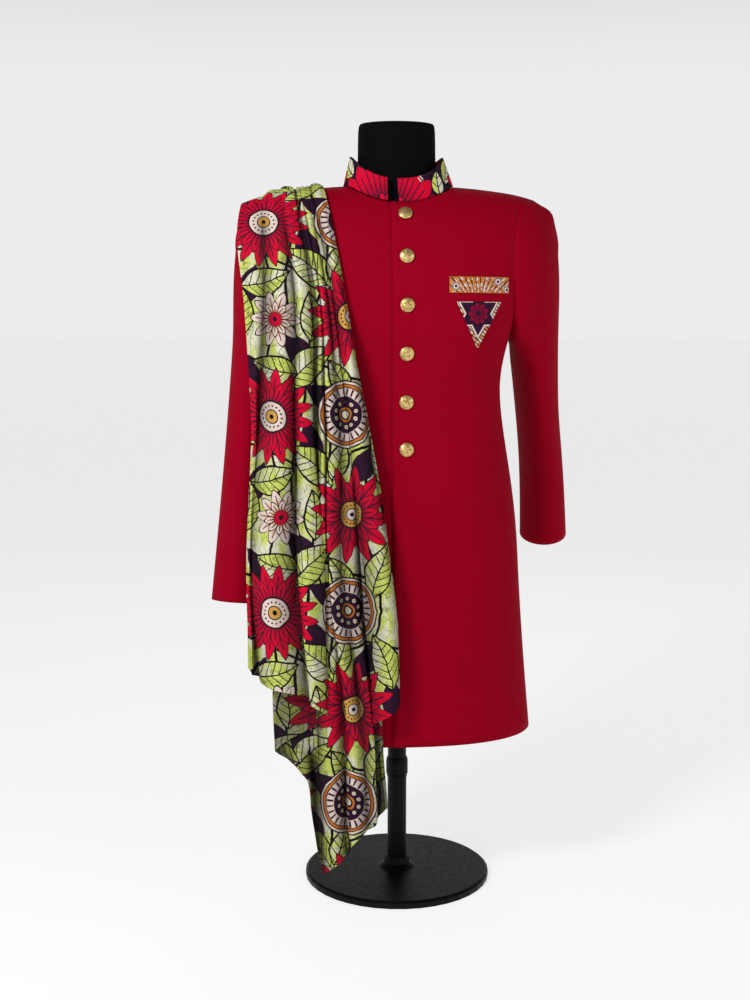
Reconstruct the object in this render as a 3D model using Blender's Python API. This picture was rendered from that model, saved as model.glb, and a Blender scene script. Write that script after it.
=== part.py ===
"""Fitted stand-collar blazer with a pleated shoulder sash, resting on a limbless dress form.

Metres, +Z up. The form's pole stands on the Z axis and its base on z = 0.
The blazer faces -Y, so the wearer's left is +X.
"""
import bpy
import bmesh
import numpy as np
from math import pi, radians
from mathutils import Vector
from mathutils.bvhtree import BVHTree

for leftover in list(bpy.data.objects):
    bpy.data.objects.remove(leftover, do_unlink=True)

# ---- driving dimensions -------------------------------------------------
CLOTH = 0.0018            # wall of the suiting
SASH_CLOTH = 0.0014       # wall of the printed sash
SEAM = 0.0003             # gap between two pieces at a seam
HEM_Z = 0.258
UNDERARM_Z = 0.878
NECK_HALF_WIDTH = 0.086
NECK_FRONT = 0.078        # neckline, forward of the shoulder seam
NECK_BACK = 0.068         # neckline, behind the shoulder seam
SHOULDER_TIP = 0.212      # shoulder seam's outer end, from the centre
FRONT_OVERLAP = 0.0185    # left front's edge, past the centre
FRONT_UNDERLAP = 0.0200   # right front's edge, past the centre
UNDERLAP_DROP = 0.0029    # right front's step in under the left front
UNDERLAP_FADE = (0.026, 0.052)   # the step fades out between these distances from the centre
PLAN_POWER = 2.4          # squareness of the body, seen from above
ROLL_POWER = 2.4          # squareness of the chest's roll up to the shoulder
NECK_POWER = 2.2          # squareness of the neckline, seen from above
NECK_LEVEL = 1.050        # height whose plan the neckline is measured on
ROW_EASE = 1.8            # rows gather at the underarm
SKIRT_TUCK = 0.065        # the skirt's right side is drawn in by this share at the hem
SKIRT_TUCK_TOP = 0.480    # and not at all above this height

# The body by height: half width, depth in front of and behind the side seam.
BODY = {
    "z":     (0.258, 0.355, 0.488, 0.602, 0.699, 0.747, 0.803, 0.843, 0.878, 0.922, 0.972, 1.112),
    "half":  (0.214, 0.205, 0.195, 0.188, 0.173, 0.165, 0.158, 0.1625, 0.1745, 0.196, 0.210, 0.226),
    "front": (0.150, 0.146, 0.137, 0.130, 0.121, 0.116, 0.114, 0.120, 0.126, 0.129, 0.129, 0.129),
    "back":  (0.152, 0.149, 0.142, 0.136, 0.122, 0.112, 0.104, 0.107, 0.112, 0.117, 0.119, 0.119),
}
SHOULDER_LINE = {"x": (0.0, 0.086, 0.133, 0.212, 0.245), "z": (1.114, 1.111, 1.107, 1.092, 1.078)}

# The armhole seam: distance from the centre, from the underarm (0) to the shoulder tip (1).
ARMHOLE = {
    "rise":  (0.0, 0.08, 0.20, 0.40, 0.65, 0.85, 1.0),
    "front": (0.1745, 0.1725, 0.1700, 0.1705, 0.1800, 0.1950, 0.212),
    "back":  (0.1745, 0.1740, 0.1740, 0.1780, 0.1880, 0.2000, 0.212),
}

# Sleeves below the armpit: outer edge and centre of each section, and its half sizes.
SLEEVE_LEFT = {
    "z":     (0.845, 0.765, 0.672, 0.600, 0.535),
    "outer": (0.269, 0.280, 0.297, 0.308, 0.316),
    "y":     (0.070, 0.114, 0.156, 0.182, 0.202),
    "half":  (0.0390, 0.0362, 0.0370, 0.0390, 0.0410),
    "depth": (0.0780, 0.0700, 0.0640, 0.0570, 0.0510),
}
SLEEVE_RIGHT = {
    "z":     (0.850, 0.750, 0.650, 0.560, 0.472),
    "outer": (0.261, 0.269, 0.278, 0.287, 0.296),
    "y":     (-0.010, -0.022, -0.036, -0.048, -0.058),
    "half":  (0.0390, 0.0365, 0.0365, 0.0388, 0.0410),
    "depth": (0.0780, 0.0700, 0.0640, 0.0570, 0.0510),
}

COLLAR_CLOTH = 0.0024
COLLAR_RISE_BACK = 0.044
COLLAR_RISE_FRONT = 0.035
COLLAR_LEAN = 0.30        # how far the band leans in, for each metre that it rises
COLLAR_SHIFT = 0.07       # how far its top sits towards the wearer's right, for each metre
COLLAR_LEFT_END = -0.005  # x of the band's end on the left front
COLLAR_RIGHT_END = -0.022

BUTTON_RADIUS = 0.0108
BUTTON_HEIGHT = 0.0058
BUTTON_X = 0.003
BUTTON_HEIGHTS = (1.063, 0.999, 0.927, 0.855, 0.782, 0.711)
BUTTON_PROFILE = ((0.0, 0.0), (0.62, 0.0), (1.0, 0.38), (0.93, 0.62), (0.6, 0.9), (0.0, 1.0))
BUTTON_LIFT = 0.0004      # space between a button and the front
BUTTON_SIDES = 14
APPLIQUE_CLOTH = 0.0012
APPLIQUE_LIFT = 0.0007
WELT = {"left": 0.066, "right": 0.159, "bottom": 0.945, "top": 0.969}
PATCH = {"left": 0.077, "right": 0.147, "top": 0.932, "tip_x": 0.111, "tip_z": 0.864}

FORM_EASE = 0.0065        # space between the coat's inside and the form
FORM_TOUCH = 0.0004       # the same at the shoulder seam, where the coat rests
FORM_BOTTOM = 0.432
NECK_HALF = (0.0615, 0.0500)   # the form's neck, across and front to back
NECK_CENTRE = (-0.003, -0.005)
NECK_TOP = 1.204
POLE_RADIUS = 0.0150
KNOB_RADIUS = 0.0178
KNOB_Z = (0.165, 0.197)
BASE_RADIUS = 0.150
BASE_THICK = 0.012
HUB_TOP = 0.030

SUIT_RED = (0.319, 0.002, 0.011, 1.0)
PRINT_GROUND = (0.45, 0.42, 0.30, 1.0)
PRINT_CRIMSON = (0.33, 0.01, 0.03, 1.0)
BUTTON_GOLD = (0.72, 0.47, 0.16, 1.0)
FORM_BLACK = (0.012, 0.012, 0.013, 1.0)


# ---- helpers ------------------------------------------------------------
def smooth(t):
    t = np.clip(t, 0.0, 1.0)
    return t * t * (3.0 - 2.0 * t)


def through(stations, values, at):
    """Smooth curve through a table's values, flat beyond its ends."""
    s = np.asarray(stations, float)
    v = np.asarray(values, float)
    at = np.clip(at, min(s[0], s[-1]), max(s[0], s[-1]))
    if s[0] > s[-1]:
        s, v = s[::-1], v[::-1]
    slope = np.gradient(v, s)
    k = np.clip(np.searchsorted(s, at, side="right") - 1, 0, len(s) - 2)
    step = s[k + 1] - s[k]
    t = (at - s[k]) / step
    return ((1 + 2 * t) * (1 - t) ** 2 * v[k] + t * (1 - t) ** 2 * step * slope[k]
            + t * t * (3 - 2 * t) * v[k + 1] + t * t * (t - 1) * step * slope[k + 1])


def unit(v):
    return v / np.linalg.norm(v, axis=-1, keepdims=True)


def finish(name, me, colour, roughness, metallic=0.0, smooth_angle=40.0):
    """Names a mesh's object, gives it a finish and shades it."""
    mat = bpy.data.materials.new(name)
    mat.use_nodes = True
    shader = mat.node_tree.nodes["Principled BSDF"]
    shader.inputs["Base Color"].default_value = colour
    shader.inputs["Roughness"].default_value = roughness
    shader.inputs["Metallic"].default_value = metallic
    me.materials.append(mat)
    me.shade_smooth()
    me.set_sharp_from_angle(angle=radians(smooth_angle))
    obj = bpy.data.objects.new(name, me)
    bpy.context.scene.collection.objects.link(obj)
    return obj


def mesh_of(name, points, faces, merge=0.0):
    """Mesh from points and faces, welded where asked, with its faces turned outwards."""
    bm = bmesh.new()
    verts = [bm.verts.new(p) for p in points]
    for face in faces:
        bm.faces.new([verts[i] for i in face])
    if merge:
        bmesh.ops.remove_doubles(bm, verts=bm.verts, dist=merge)
        bmesh.ops.dissolve_degenerate(bm, dist=merge, edges=bm.edges)
    bmesh.ops.recalc_face_normals(bm, faces=bm.faces)
    if bm.calc_volume(signed=True) < 0:
        bmesh.ops.reverse_faces(bm, faces=bm.faces)
    bmesh.ops.triangulate(bm, faces=bm.faces)
    me = bpy.data.meshes.new(name)
    bm.to_mesh(me)
    bm.free()
    return me


def cloth_wall(name, outer, inner, round_it=False):
    """Closed wall between two grids of points; round_it joins the last column to the first."""
    rows, cols, _ = outer.shape
    size = rows * cols
    points = [tuple(p) for p in np.concatenate([outer.reshape(-1, 3), inner.reshape(-1, 3)])]

    def at(r, c, layer):
        return layer * size + r * cols + c % cols

    faces = []
    spans = cols if round_it else cols - 1
    for r in range(rows - 1):
        for c in range(spans):
            # Both sides of the wall are split along the same, shorter diagonal.
            n = (c + 1) % cols
            rising_length = np.linalg.norm(outer[r, c] - outer[r + 1, n])
            falling_length = np.linalg.norm(outer[r, n] - outer[r + 1, c])
            rising = rising_length < falling_length
            for layer in (0, 1):
                near, next_one = at(r, c, layer), at(r, c + 1, layer)
                above, across = at(r + 1, c, layer), at(r + 1, c + 1, layer)
                if rising:
                    faces += [(near, next_one, across), (near, across, above)]
                else:
                    faces += [(near, next_one, above), (next_one, across, above)]
    for r in (0, rows - 1):
        for c in range(spans):
            faces.append((at(r, c, 0), at(r, c, 1), at(r, c + 1, 1), at(r, c + 1, 0)))
    if not round_it:
        for c in (0, cols - 1):
            for r in range(rows - 1):
                faces.append((at(r, c, 0), at(r + 1, c, 0), at(r + 1, c, 1), at(r, c, 1)))
    return mesh_of(name, points, faces)


def turned(name, profile, steps, centre=(0.0, 0.0, 0.0), axis=(0.0, 0.0, 1.0)):
    """Solid turned from (radius, height) pairs that start and end on the axis."""
    axis = unit(np.asarray(axis, float))
    side = unit(np.cross(axis, (0.0, 1.0, 0.0) if abs(axis[1]) < 0.7 else (1.0, 0.0, 0.0)))
    up = np.cross(axis, side)
    angles = np.arange(steps) * 2 * pi / steps
    points, rings = [], []
    for radius, height in profile:
        middle = np.asarray(centre) + axis * height
        if radius == 0.0:
            rings.append([len(points)] * steps)
            points.append(tuple(middle))
        else:
            rings.append(list(range(len(points), len(points) + steps)))
            points += [tuple(middle + radius * (np.cos(a) * side + np.sin(a) * up)) for a in angles]
    faces = []
    for low, high in zip(rings, rings[1:]):
        for k in range(steps):
            n = (k + 1) % steps
            corners = [low[k], low[n], high[n], high[k]]
            faces.append(tuple(dict.fromkeys(corners)))
    return mesh_of(name, points, faces)


# ---- the coat's body ----------------------------------------------------
def body(column, z):
    return through(BODY["z"], BODY[column], z)


def shoulder_z(x):
    return through(SHOULDER_LINE["x"], SHOULDER_LINE["z"], np.abs(x))


def fullness(x, z):
    """Depth at x as a share of the depth at the centre, on the body's rounded plan."""
    share = np.clip(np.abs(x) / body("half", z), 0.0, 1.0)
    return (1.0 - share ** PLAN_POWER) ** (1.0 / PLAN_POWER)


def neckline_angle(x, depth, reach):
    """How far up the roll the neckline lies at x: pi/2 is the shoulder seam."""
    share = np.clip(np.abs(x) / NECK_HALF_WIDTH, 0.0, 1.0)
    forward = reach * (1.0 - share ** NECK_POWER) ** (1 / NECK_POWER)
    full = body(depth, NECK_LEVEL) * fullness(x, NECK_LEVEL)
    return np.arccos(np.clip(forward / full, 0.0, 1.0) ** (ROLL_POWER / 2))


def rolled(x, angle, depth):
    """Point on the chest or back at x, rolled up towards the shoulder seam by an angle."""
    rise = np.sin(angle) ** (2 / ROLL_POWER)
    z = UNDERARM_Z + (shoulder_z(x) - UNDERARM_Z) * rise
    y = body(depth, z) * fullness(x, z) * np.cos(angle) ** (2 / ROLL_POWER)
    return y, z


class Panel:
    """A front or half of the back, as a surface over (across, level).

    across runs from the centre edge (0) to the side seam and armhole (1).
    level runs from the hem (0) to the underarm (1) and the neckline and shoulder seam (2).
    """

    def __init__(self, side, depth, edge, neck_share, drop=0.0, end_inset=0.0):
        self.side = side
        self.depth = depth
        self.edge = edge
        self.neck_share = neck_share
        self.drop = drop
        self.end_inset = end_inset
        self.reach = NECK_FRONT if depth == "front" else NECK_BACK
        self.facing = -1.0 if depth == "front" else 1.0

    def point(self, across, level):
        rise = np.clip(level - 1.0, 0.0, 1.0) ** ROW_EASE
        low_z = HEM_Z + np.clip(level, 0.0, 1.0) * (UNDERARM_Z - HEM_Z)
        end = np.where(level <= 1.0, body("half", low_z), through(ARMHOLE["rise"], ARMHOLE[self.depth], rise))
        end = end - self.end_inset
        low_share = np.sin(across * pi / 2) ** (2 / PLAN_POWER)
        neck_turn = np.clip(across / self.neck_share, 0, 1) * pi / 2
        neck_x = self.edge + (NECK_HALF_WIDTH - self.edge) * np.sin(neck_turn)
        past_neck = np.clip((across - self.neck_share) / (1 - self.neck_share), 0, 1)
        top_x = neck_x + (SHOULDER_TIP - NECK_HALF_WIDTH) * past_neck
        top_share = (top_x - self.edge) / (SHOULDER_TIP - self.edge)
        x = self.edge + (end - self.edge) * (low_share + (top_share - low_share) * smooth(rise))
        top_angle = neckline_angle(top_x, self.depth, self.reach)
        y, z = rolled(x, rise * top_angle, self.depth)
        low_y = body(self.depth, low_z) * fullness(x, low_z)
        y = np.where(level <= 1.0, low_y, y)
        z = np.where(level <= 1.0, low_z, z)
        if self.side < 0:
            x = x * (1.0 - SKIRT_TUCK * smooth((SKIRT_TUCK_TOP - z) / (SKIRT_TUCK_TOP - HEM_Z)))
        return np.stack([self.side * x, self.facing * (y + SEAM / 2), z], axis=-1)

    def normal(self, across, level):
        step = 1e-5
        a0, a1 = np.clip(across - step, 0, 1), np.clip(across + step, 0, 1)
        l0, l1 = np.clip(level - 50 * step, 0, 2), np.clip(level + 50 * step, 0, 2)
        l1 = np.where(level <= 1.0, np.minimum(l1, 1.0), l1)
        run = self.point(a1, level) - self.point(a0, level)
        climb = self.point(across, l1) - self.point(across, l0)
        return unit(np.cross(run, climb)) * -self.side * self.facing

    def grid(self, acrosses, levels):
        across, level = np.meshgrid(acrosses, levels)
        points, normals = self.point(across, level), self.normal(across, level)
        under = self.drop * smooth((UNDERLAP_FADE[1] - points[..., :1] * self.side) / np.ptp(UNDERLAP_FADE))
        return points - normals * under, normals


FRONT_COLUMNS = 12
LOWER_ROWS = 10
UPPER_ROWS = 9
LEVELS = np.concatenate([np.linspace(0, 1, LOWER_ROWS + 1), 1 + np.arange(1, UPPER_ROWS + 1) / UPPER_ROWS])
ACROSS = np.linspace(0, 1, FRONT_COLUMNS + 1)
NECK_SHARE = 5 / FRONT_COLUMNS

left_front = Panel(1, "front", -FRONT_OVERLAP, NECK_SHARE)
right_front = Panel(-1, "front", -FRONT_UNDERLAP, NECK_SHARE, drop=UNDERLAP_DROP)
left_back = Panel(1, "back", 0.0, NECK_SHARE)
right_back = Panel(-1, "back", 0.0, NECK_SHARE)


def front(name, panel):
    points, normals = panel.grid(ACROSS, LEVELS)
    me = cloth_wall(name, points, points - CLOTH * normals)
    return finish(name, me, SUIT_RED, 0.62)


def back():
    left, left_n = left_back.grid(ACROSS, LEVELS)
    right, right_n = right_back.grid(ACROSS[:0:-1], LEVELS)
    points = np.concatenate([right, left], axis=1)
    normals = np.concatenate([right_n, left_n], axis=1)
    me = cloth_wall("back", points, points - CLOTH * normals)
    return finish("back", me, SUIT_RED, 0.62)


def lay_on(obj, x, z):
    """Points on the outside of a panel at x and z, and the outward direction there."""
    tree = BVHTree.FromPolygons([v.co for v in obj.data.vertices], [p.vertices for p in obj.data.polygons])
    forward = Vector((0, 1, 0))
    reach = 0.006             # half the span over which the direction is measured

    def at(px, pz):
        hit = tree.ray_cast(Vector((px, -1.0, pz)), forward)[0]
        return np.array(hit)

    points = np.empty(x.shape + (3,))
    normals = np.empty(x.shape + (3,))
    for place in np.ndindex(x.shape):
        px, pz = float(x[place]), float(z[place])
        points[place] = at(px, pz)
        run = at(px + reach, pz) - at(px - reach, pz)
        climb = at(px, pz + reach) - at(px, pz - reach)
        normals[place] = unit(np.cross(run, climb))
    return points, normals


# ---- sleeves ------------------------------------------------------------
HEAD_RINGS = 7
HEAD_CROWN = 0.85         # how far the sleeve's head stands out before it turns down
HEAD_SETTLE = 0.9         # how early it turns down the arm
HEAD_LEAD = {"out": (0.45, 1.0), "down": (1.0, 0.28)}   # its direction at the seam: underarm, shoulder
SLEEVE_GAP = (0.0006, 0.0003)     # space at the armhole, along that direction and outwards
TUBE_RINGS = 9


def sleeve(name, side, front_panel, back_panel, table):
    """A tube whose first ring is the armhole seam and whose last is the cuff."""
    seam_levels = LEVELS[LOWER_ROWS:]
    ones = np.ones_like(seam_levels)
    f_pts, f_nrm = front_panel.point(ones, seam_levels), front_panel.normal(ones, seam_levels)
    b_pts, b_nrm = back_panel.point(ones, seam_levels), back_panel.normal(ones, seam_levels)
    f_pts[0], f_pts[-1] = (f_pts[0] + b_pts[0]) / 2, (f_pts[-1] + b_pts[-1]) / 2
    armhole = np.concatenate([f_pts, b_pts[-2:0:-1]])
    seam_n = np.concatenate([f_nrm, b_nrm[-2:0:-1]])
    count = len(armhole)

    height = smooth((armhole[:, 2] - UNDERARM_Z) / (shoulder_z(SHOULDER_TIP) - UNDERARM_Z))
    out = HEAD_LEAD["out"][0] + (HEAD_LEAD["out"][1] - HEAD_LEAD["out"][0]) * height
    down = HEAD_LEAD["down"][0] + (HEAD_LEAD["down"][1] - HEAD_LEAD["down"][0]) * height
    lead = unit(np.stack([side * out, 0 * height, -down], axis=-1))
    start = armhole + lead * SLEEVE_GAP[0] + np.array([side * SLEEVE_GAP[1], 0, 0])

    stations = np.linspace(table["z"][0], table["z"][-1], TUBE_RINGS)
    centre = np.stack([side * (through(table["z"], table["outer"], stations)
                               - through(table["z"], table["half"], stations)),
                       through(table["z"], table["y"], stations), stations], axis=-1)
    along = unit(np.gradient(centre, axis=0))
    turn = np.arange(count) * 2 * pi / count
    rings = []
    for mid, axis, z in zip(centre, along, stations):
        across = unit(np.array([side, 0, 0]) - axis * axis[0] * side)
        forward = np.cross(axis, across) * side
        forward = forward * (-1.0 if forward[1] > 0 else 1.0)
        half, deep = through(table["z"], table["half"], z), through(table["z"], table["depth"], z)
        rings.append(mid - np.outer(np.cos(turn), across) * half + np.outer(np.sin(turn), forward) * deep)

    first = rings[0]
    reach = np.linalg.norm(first - start, axis=1, keepdims=True)
    head = []
    for k in range(HEAD_RINGS):
        t = k / HEAD_RINGS
        head.append((1 + 2 * t) * (1 - t) ** 2 * start + t * (1 - t) ** 2 * lead * reach * HEAD_CROWN
                    + t * t * (3 - 2 * t) * first + t * t * (t - 1) * along[0] * reach * HEAD_SETTLE)
    outer = np.array(head + rings)

    run = np.roll(outer, -1, axis=1) - np.roll(outer, 1, axis=1)
    climb = np.gradient(outer, axis=0)
    normals = unit(np.cross(run, climb))
    normals *= np.sign(np.sum(normals * (outer - outer.mean(axis=1, keepdims=True)), axis=-1, keepdims=True))
    keep = smooth((height - 0.05) / 0.3)[:, None]
    normals[0] = unit(seam_n * keep + normals[0] * (1 - keep))
    me = cloth_wall(name, outer, outer - CLOTH * normals, round_it=True)
    return finish(name, me, SUIT_RED, 0.62)


# ---- collar, pocket, patch and buttons -----------------------------------
COLLAR_POINTS = 11        # on each quarter of the neckline
COLLAR_RINGS = 4
COLLAR_GAP = 0.0009       # space between the band's lower edge and the neckline


def neckline(x, depth):
    reach = NECK_FRONT if depth == "front" else NECK_BACK
    angle = neckline_angle(x, depth, reach)
    y, z = rolled(x, angle, depth)
    return np.array([x, -y if depth == "front" else y, z])


def collar():
    """A standing band on the neckline, from one front edge round the back to the other."""
    turn = np.linspace(0, pi / 2, COLLAR_POINTS)
    left_x = COLLAR_LEFT_END + (NECK_HALF_WIDTH - COLLAR_LEFT_END) * np.sin(turn)
    left = [neckline(x, "front") for x in left_x]
    rear = [neckline(x, "back") for x in NECK_HALF_WIDTH * np.cos(np.linspace(0, pi, 2 * COLLAR_POINTS - 1))]
    right_x = COLLAR_RIGHT_END - (NECK_HALF_WIDTH + COLLAR_RIGHT_END) * np.sin(turn)
    right = [neckline(x, "front") for x in right_x]
    path = np.array(left[:-1] + rear + right[-2::-1])
    run = np.gradient(path, axis=0)
    outward = unit(np.cross(run, (0.0, 0.0, 1.0)))
    back_share = smooth((path[:, 1] + NECK_FRONT) / NECK_FRONT)
    rise = COLLAR_RISE_FRONT + (COLLAR_RISE_BACK - COLLAR_RISE_FRONT) * back_share
    outer, inner = [], []
    for k in range(COLLAR_RINGS):
        t = k / (COLLAR_RINGS - 1)
        height = COLLAR_GAP + t * rise
        lean = COLLAR_LEAN * height
        ring = path + np.array([-COLLAR_SHIFT, 0, 1]) * height[:, None] - outward * lean[:, None]
        outer.append(ring)
        inner.append(ring - outward * COLLAR_CLOTH)
    me = cloth_wall("collar", np.array(outer), np.array(inner))
    return finish("collar", me, PRINT_CRIMSON, 0.7)


def applique(name, panel, x, z):
    """A flat piece that lies on a panel at a grid of x and z."""
    points, normals = lay_on(panel, x, z)
    under = points + normals * APPLIQUE_LIFT
    me = cloth_wall(name, under + normals * APPLIQUE_CLOTH, under)
    return finish(name, me, PRINT_GROUND, 0.7)


def pocket_welt(panel):
    along = np.linspace(WELT["left"], WELT["right"], 9)
    x, z = np.meshgrid(along, np.linspace(WELT["bottom"], WELT["top"], 3))
    return applique("pocket_welt", panel, x, z)


def chest_patch(panel):
    down = np.linspace(0, 1, 7)[:, None]
    over = np.linspace(0, 1, 7)[None, :]
    tip = 0.97 * down
    left = PATCH["left"] + (PATCH["tip_x"] - PATCH["left"]) * tip
    right = PATCH["right"] + (PATCH["tip_x"] - PATCH["right"]) * tip
    x = left + (right - left) * over
    z = PATCH["top"] + (PATCH["tip_z"] - PATCH["top"]) * down + 0 * over
    return applique("chest_patch", panel, x, z)


def buttons(panel):
    profile = [(share * BUTTON_RADIUS, rise * BUTTON_HEIGHT) for share, rise in BUTTON_PROFILE]
    for number, z in enumerate(BUTTON_HEIGHTS, start=1):
        point, normal = lay_on(panel, np.array(BUTTON_X), np.array(z))
        foot = point + normal * BUTTON_LIFT
        me = turned(f"button_{number}", profile, BUTTON_SIDES, centre=foot, axis=normal)
        finish(f"button_{number}", me, BUTTON_GOLD, 0.35, metallic=1.0)


# ---- the sash -----------------------------------------------------------
# Heights at which each fold's x is given; the first is the top of the shoulder.
SASH_Z = (1.105, 0.934, 0.787, 0.637, 0.486, 0.351, 0.259, 0.167, 0.074)
SASH_ROLL_Z = 0.900       # the sash hangs straight below this height
# Where the sash lies in front of the pole's axis, at three distances from the centre.
SASH_REST = {
    "z":      (0.900, 0.787, 0.637, 0.486, 0.351, 0.259, 0.064),
    "inner":  (0.1345, 0.1345, 0.1390, 0.1460, 0.1540, 0.1590, 0.1630),
    "middle": (0.1165, 0.1190, 0.1260, 0.1330, 0.1400, 0.1440, 0.1480),
    "outer":  (0.0950, 0.0990, 0.1050, 0.1120, 0.1180, 0.1210, 0.1250),
}
SASH_REST_X = (0.020, 0.130, 0.235)
# Each fold line: distance from the centre at the heights above (mm), lift off the coat at the
# shoulder and low down (mm), and the height of the hem there (mm).
SASH_FOLDS = (
    # name            x at SASH_Z                                      lift        hem
    ("outer_edge",    (230, 233, 231, 234, 239, 240),                  (2.0, 5),   380),
    ("trough_1",      (211, 209, 216, 224, 228, 226),                  (1.2, 4),   362),
    ("crest_1",       (199, 185, 188, 192, 195, 193),                  (6.5, 19),  345),
    ("trough_2",      (184, 163, 165, 165, 153, 147),                  (7.3, 15),  334),
    ("crest_2",       (176, 152, 150, 147, 139, 133),                  (9.5, 22),  323),
    ("fold_1_front",  (167, 143, 140, 135, 125, 122),                  (9.6, 22),  315),
    ("fold_1_turn",   (164, 140, 137, 132, 122, 119),                  (6.9, 16),  312),
    ("fold_1_behind", (167, 143, 140, 135, 125, 122),                  (4.2, 10),  308),
    ("fold_2_front",  (174, 160, 162, 166, 180, 196, 196),             (4.2, 9.5), 258),
    ("fold_2_turn",   (177, 163, 165, 169, 183, 199, 199),             (2.7, 6.7), 253),
    ("fold_2_behind", (174, 160, 162, 166, 180, 196, 196),             (1.2, 4),   250),
    ("tail_1",        (171, 152, 153, 157, 168, 183, 181, 179),        (1.2, 4),   243),
    ("tail_2",        (167, 146, 146, 149, 156, 167, 164, 161),        (1.2, 4),   217),
    ("tail_3",        (163, 140, 139, 141, 145, 151, 148, 144, 142),   (1.2, 4),   160),
    ("tail_tip",      (159, 132, 130, 130, 129, 131, 130, 128, 127),   (1.2, 5),   64),
    ("trough_4",      (154, 124, 118, 116, 106, 98, 92, 88, 85),       (1.2, 3),   86),
    ("crest_3",       (145, 114, 102, 96, 88, 75, 66, 62, 58),         (3.5, 12),  118),
    ("fold_3_under",  (137, 106, 90, 76, 64, 56, 50, 44, 42),          (1.2, 5),   140),
    ("fold_3_behind", (126, 97, 76, 56, 48, 44, 40, 31, 31),           (1.2, 5),   158),
    ("fold_3_turn",   (123, 94, 73, 53, 45, 41, 37, 28, 28),           (2.7, 8),   164),
    ("fold_3_front",  (126, 97, 76, 56, 48, 44, 40, 31, 31),           (4.2, 11),  172),
    ("fold_4_behind", (134, 103, 87, 71, 59, 48, 48),                  (4.8, 12),  292),
    ("fold_4_turn",   (137, 106, 90, 74, 62, 51, 51),                  (7.0, 16),  298),
    ("fold_4_front",  (134, 103, 87, 71, 59, 48, 48),                  (9.4, 20),  304),
    ("crest_4",       (127, 96, 76, 50, 37, 28),                       (8.0, 17),  319),
    ("inner_edge",    (118, 88, 65, 36, 20, 12),                       (2.0, 8),   331),
)
SASH_BEHIND = radians(32)  # how far the sash reaches down the back, round the shoulder
SASH_BACK_DEPTH = 0.110   # the back's depth where it does
SASH_TOP_GAP = 0.0005     # space between the shoulder seam and the sash's lowest fold
SASH_TOP_LEAN = 1.3       # how much more the folds stand forward than up, on the shoulder's roll
SASH_HANG_ROWS = 15
SASH_ROLL_ROWS = 6
SASH_BACK_ROWS = 3


def sash_rest(x, z):
    """How far forward of the axis the sash rests, at x from the centre and height z."""
    inner, middle, outer = (through(SASH_REST["z"], SASH_REST[k], z) for k in ("inner", "middle", "outer"))
    a, b, c = SASH_REST_X
    return (inner * (x - b) * (x - c) / ((a - b) * (a - c)) + middle * (x - a) * (x - c) / ((b - a) * (b - c))
            + outer * (x - a) * (x - b) / ((c - a) * (c - b)))


def sash_column(fold_x, lift, hem):
    """Points down one fold line: from behind the shoulder, over it and down to the hem."""
    stations = SASH_Z[:len(fold_x)]
    column = []
    angles = np.concatenate([np.linspace(pi / 2 + SASH_BEHIND, pi / 2, SASH_BACK_ROWS, endpoint=False),
                             np.linspace(pi / 2, 0, SASH_ROLL_ROWS, endpoint=False)])
    for angle in angles:
        top_x = fold_x[0] / 1000
        top_z = shoulder_z(top_x) + SASH_TOP_GAP
        rise, push = np.abs(np.sin(angle)) ** (2 / ROLL_POWER), np.abs(np.cos(angle)) ** (2 / ROLL_POWER)
        z = SASH_ROLL_Z + (top_z - SASH_ROLL_Z) * rise
        x = through(stations, fold_x, z) / 1000 if angle <= pi / 2 else top_x
        depth = sash_rest(x, SASH_ROLL_Z) if angle <= pi / 2 else -SASH_BACK_DEPTH
        share = smooth((SASH_Z[0] - z) / (SASH_Z[0] - SASH_Z[5]))
        lift_now = (lift[0] + (lift[1] - lift[0]) * share) / 1000
        out = unit(np.array([0.0, -np.sign(depth) * push * SASH_TOP_LEAN, rise]))
        column.append(np.array([-x, -depth * push, z]) + out * lift_now)
    for t in np.linspace(0, 1, SASH_HANG_ROWS):
        z = SASH_ROLL_Z - t * (SASH_ROLL_Z - hem / 1000)
        x = through(stations, fold_x, z) / 1000
        share = smooth((SASH_Z[0] - z) / (SASH_Z[0] - SASH_Z[5]))
        column.append(np.array([-x, -sash_rest(x, z) - (lift[0] + (lift[1] - lift[0]) * share) / 1000, z]))
    return column


def sash():
    middle = np.array([sash_column(*fold[1:]) for fold in SASH_FOLDS]).transpose(1, 0, 2)
    run, climb = np.gradient(middle, axis=1), np.gradient(middle, axis=0)
    normals = unit(np.cross(climb, run))
    me = cloth_wall("sash", middle + normals * SASH_CLOTH / 2, middle - normals * SASH_CLOTH / 2)
    return finish("sash", me, PRINT_GROUND, 0.7)


# ---- the dress form ------------------------------------------------------
FORM_COLUMNS = 10         # on each quarter
FORM_NECK_COLUMNS = 4
FORM_LOWER_ROWS = 8
FORM_SIDE_EASE = 0.007    # more space at the side seams and armholes
SEAM_LEVELS = (1.45, 0.5)     # the form comes up to the shoulder seam over these levels
SEAM_ACROSS = (0.45, 0.2)     # and over these shares of the way to the armhole
# The neck: how far each ring has turned from the neckline's shape to the column's, and its height.
NECK_RINGS = ((0.35, 1.104), (0.72, 1.112), (0.94, 1.126), (1.0, 1.150), (1.0, NECK_TOP - 0.004))
NECK_CAP = 0.95           # the cap's size as a share of the column's


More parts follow.
